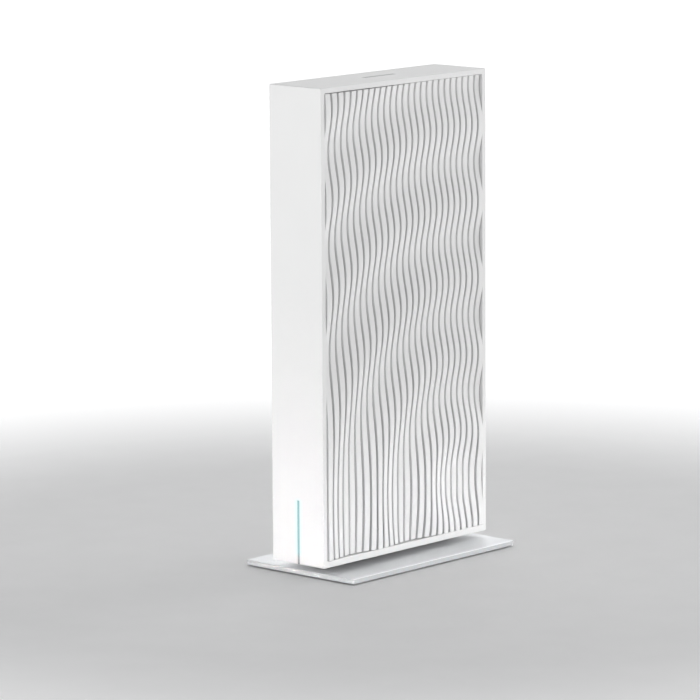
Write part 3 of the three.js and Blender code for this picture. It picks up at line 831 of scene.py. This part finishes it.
def add_inlet(looks):
    low, high = local_box("dc_jack_housing")
    x, z, bore, depth = -2.75, 29.7, 3.3, 10.5
    verts, faces = loft(soft_box(low.x, high.x, low.y, high.y, low.z, high.z, 0.15))
    flare = 0.35
    well = lathe([(0, high.y - depth), (bore, high.y - depth), (bore, high.y - flare),
                  (bore + 0.1, high.y - 0.12), (bore + flare, high.y), (bore + flare, high.y + 1),
                  (0, high.y + 1)], x, z)
    leaf_low, leaf_high = local_box("dc_spring_contact")
    slot = loft(box_loops(x + bore - 1, leaf_high.x + GAP, low.y - 1, high.y - 2,
                          leaf_low.z - 0.1, leaf_high.z + 0.1))
    steps = [
        ("DIFFERENCE", cutter("bore", *well)),
        ("DIFFERENCE", rod_tool("pin_hole", "y", x, z, 1.35, low.y - 1, high.y - depth + 1)),
        ("DIFFERENCE", cutter("leaf_slot", *slot)),
    ]
    mesh = boolean(verts, faces, steps)
    face = finish_piece("dc_jack_face", mesh, [looks["socket_white"], looks["inlet_inside"]], ROUTER,
                        ["dc_jack_housing"], smooth=30)
    darken_inside(face, low, high)

    pin_low, pin_high = local_box("dc_centre_pin")
    r = (pin_high.x - pin_low.x) / 2
    tip = pin_high.y
    profile = [(0, pin_low.y), (r, pin_low.y), (r, tip - 0.6), (r * 0.9, tip - 0.3),
               (r * 0.6, tip - 0.08), (0, tip)]
    make_piece("dc_pin_turned", *lathe(profile, x, z, 48), [looks["steel"]], ROUTER, "steel",
               ["dc_centre_pin"])


def add_button(looks):
    low, high = local_box("power_button")
    x, z = (low.x + high.x) / 2, (low.z + high.z) / 2
    flange = (high.x - low.x) / 2
    r = 2.03
    face = high.y
    back = low.y
    dish = 0.12
    profile = [
        (0, back), (1.6, back), (1.6, back + 1), (flange, back + 1), (flange, back + 2.2), (r, back + 2.2),
        (r, face - 0.3), (r - 0.09, face - 0.09), (r - 0.3, face), (r - 0.55, face),
        (r - 1.0, face - dish * 0.7), (0, face - dish),
    ]
    make_piece("power_button_cap", *lathe(profile, x, z), [looks["case_white"]], BUTTON, "case_white",
               ["power_button"])


# ---------------------------------------------------------------- printed marks on the rear face
def plate_mark(outline):
    """A thin closed slab on the rear face; outline is in (x, z)."""
    return loft([[(x, y, z) for x, z in outline] for y in (HALF_D - INK, HALF_D + INK)])


def rect_outline(x0, z0, x1, z1):
    return [(x0, z0), (x1, z0), (x1, z1), (x0, z1)]


def frame_mark(x0, z0, x1, z1, line):
    """A thin closed rectangular ring on the rear face."""
    rings = []
    for y, inset in ((HALF_D - INK, 0), (HALF_D + INK, 0), (HALF_D + INK, line), (HALF_D - INK, line)):
        rings.append([(x, y, z) for x, z in rect_outline(x0 + inset, z0 + inset, x1 - inset, z1 - inset)])
    return loft(rings, closed=True)


def arc_outline(x, z, outer, inner, start, end, steps=28):
    angles = [math.radians(start + (end - start) * i / steps) for i in range(steps + 1)]
    out = [(x + outer * math.cos(a), z + outer * math.sin(a)) for a in angles]
    back = [(x + inner * math.cos(a), z + inner * math.sin(a)) for a in reversed(angles)]
    return out + back


def add_mark(name, shapes, look):
    verts, faces = [], []
    for more_verts, more_faces in shapes:
        offset = len(verts)
        verts += more_verts
        faces += [tuple(i + offset for i in face) for face in more_faces]
    make_piece(name, verts, faces, [look], ROUTER, "print_grey", smooth=20)


def add_numeral(text, x, z, height, look):
    curve = bpy.data.curves.new(f"numeral_{text}", "FONT")
    curve.body = text
    curve.size = height / 0.7 * MM
    curve.extrude = INK * MM
    curve.offset = 0.035 * MM
    curve.align_x = "CENTER"
    curve.align_y = "CENTER"
    temporary = bpy.data.objects.new("numeral", curve)
    bpy.context.scene.collection.objects.link(temporary)
    bpy.context.view_layer.update()
    graph = bpy.context.evaluated_depsgraph_get()
    mesh = bpy.data.meshes.new_from_object(temporary.evaluated_get(graph))
    bpy.data.objects.remove(temporary)
    upright = Matrix.Rotation(math.pi, 4, "Z") @ Matrix.Rotation(math.pi / 2, 4, "X")
    mesh.transform(Matrix.Translation(place(x, HALF_D, z)) @ upright)
    mesh.materials.clear()
    finish_piece(f"numeral_{text}", mesh, [look], ROUTER, smooth=20)


def add_light_blade(looks):
    """The glowing blade that fills the slot, with the flange behind the wall that spreads its light."""
    low, high = local_box("led_light_guide")
    blade = LIGHT_BLADE / 2
    flange_front = low.y + WALL + GAP
    tip = 0.1
    left, right = LIGHT_X - blade, LIGHT_X + blade
    section = [(left + tip, low.y), (right - tip, low.y), (right, low.y + tip),
               (right, flange_front + 0.2), (left, flange_front + 0.2), (left, low.y + tip)]
    verts, faces = loft([[(x, y, z) for x, y in section] for z in (low.z, LIGHT_TOP - 0.1)])
    edge = 0.2
    foot = FLOOR_WALL + GAP
    loops = []
    for z, inset in ((foot, edge), (foot + edge, 0), (high.z - edge, 0), (high.z, edge)):
        outline = rounded_loop(low.x + inset, flange_front, high.x - inset, high.y, 0.3, 3)
        loops.append([(x, y, z) for x, y in outline])
    mesh = boolean(verts, faces, [("UNION", cutter("flange", *loft(loops)))])
    finish_piece("light_line", mesh, [looks["light_guide"]], ROUTER, ["led_light_guide"])


def add_marks(looks):
    """The marks beside the sockets; seen from behind, x grows to the left."""
    ink = looks["print_grey"]
    near, away = 5.65, 8.35
    add_mark("port_bar", [plate_mark(rect_outline(near, 86.6, away, 102.3))], ink)
    add_mark("port_bracket", [frame_mark(near, 44.0, away, 86.5, 0.3)], looks["print_pale"])

    power_x, power_z = -9.2, 13.5
    ring = plate_mark(arc_outline(power_x, power_z, 1.35, 0.98, 125, 415))
    tick = plate_mark(rect_outline(power_x - 0.18, power_z + 0.1, power_x + 0.18, power_z + 1.5))
    add_mark("power_symbol", [ring, tick], ink)

    left, right = -12.5, -8.6
    line, line_z, dash_z = 0.42, 29.9, 28.5
    shapes = [plate_mark(rect_outline(left, line_z, right, line_z + line))]
    dash = (right - left) / 3.8
    for k in range(3):
        start = left + k * (right - left - dash) / 2
        shapes.append(plate_mark(rect_outline(start, dash_z, start + dash, dash_z + line)))
    add_mark("dc_symbol", shapes, ink)
    for text, z in (("1", 80.1), ("2", 66.0), ("3", 52.0)):
        add_numeral(text, -10.75, z, 1.7, ink)


# ---------------------------------------------------------------- CAD nodes that keep their shape
SOFT_EDGES = {
    "ethernet_contacts_1": 0.05,
    "ethernet_contacts_2": 0.05,
    "ethernet_contacts_3": 0.05,
    "ethernet_contacts_4": 0.05,
    "main_heatsink": 0.12,
    "power_switch_body": 0.2,
    "power_switch_plunger": 0.15,
    "soc_chip": 0.12,
    "ram_chip": 0.1,
    "flash_chip": 0.1,
    "rf_shield_1": 0.2,
    "rf_shield_2": 0.2,
    "ethernet_magnetics_1": 0.3,
    "ethernet_magnetics_2": 0.3,
    "power_inductor_1": 0.3,
}


def dress_nodes(looks):
    """Every CAD node takes the material of its slot in the record, and some get softened edges."""
    slots = {part["node"]: part["material_slot"] for part in frame["record"]["subparts"]}
    for name, cad_object in frame["nodes"].items():
        cad_object.data.materials.clear()
        cad_object.data.materials.append(looks[slots[name]])
        if name in SOFT_EDGES:
            bevel = cad_object.modifiers.new("soft_edges", "BEVEL")
            bevel.width = SOFT_EDGES[name] * MM
            bevel.segments = 2
            bevel.limit_method = "ANGLE"
            bevel.angle_limit = math.radians(40)


def main():
    add_camera()
    add_world()
    add_lights()
    looks = add_materials()
    add_floor(looks["floor"])
    dress_nodes(looks)
    add_case(looks)
    add_panel(looks, 1, "right_slatted_panel", "right_wave_panel")
    add_panel(looks, -1, "left_slatted_panel", "left_wave_panel")
    add_base(looks)
    add_sockets(looks)
    add_inlet(looks)
    add_button(looks)
    add_light_blade(looks)
    add_marks(looks)
    bpy.context.scene.view_settings.view_transform = "Standard"


main()
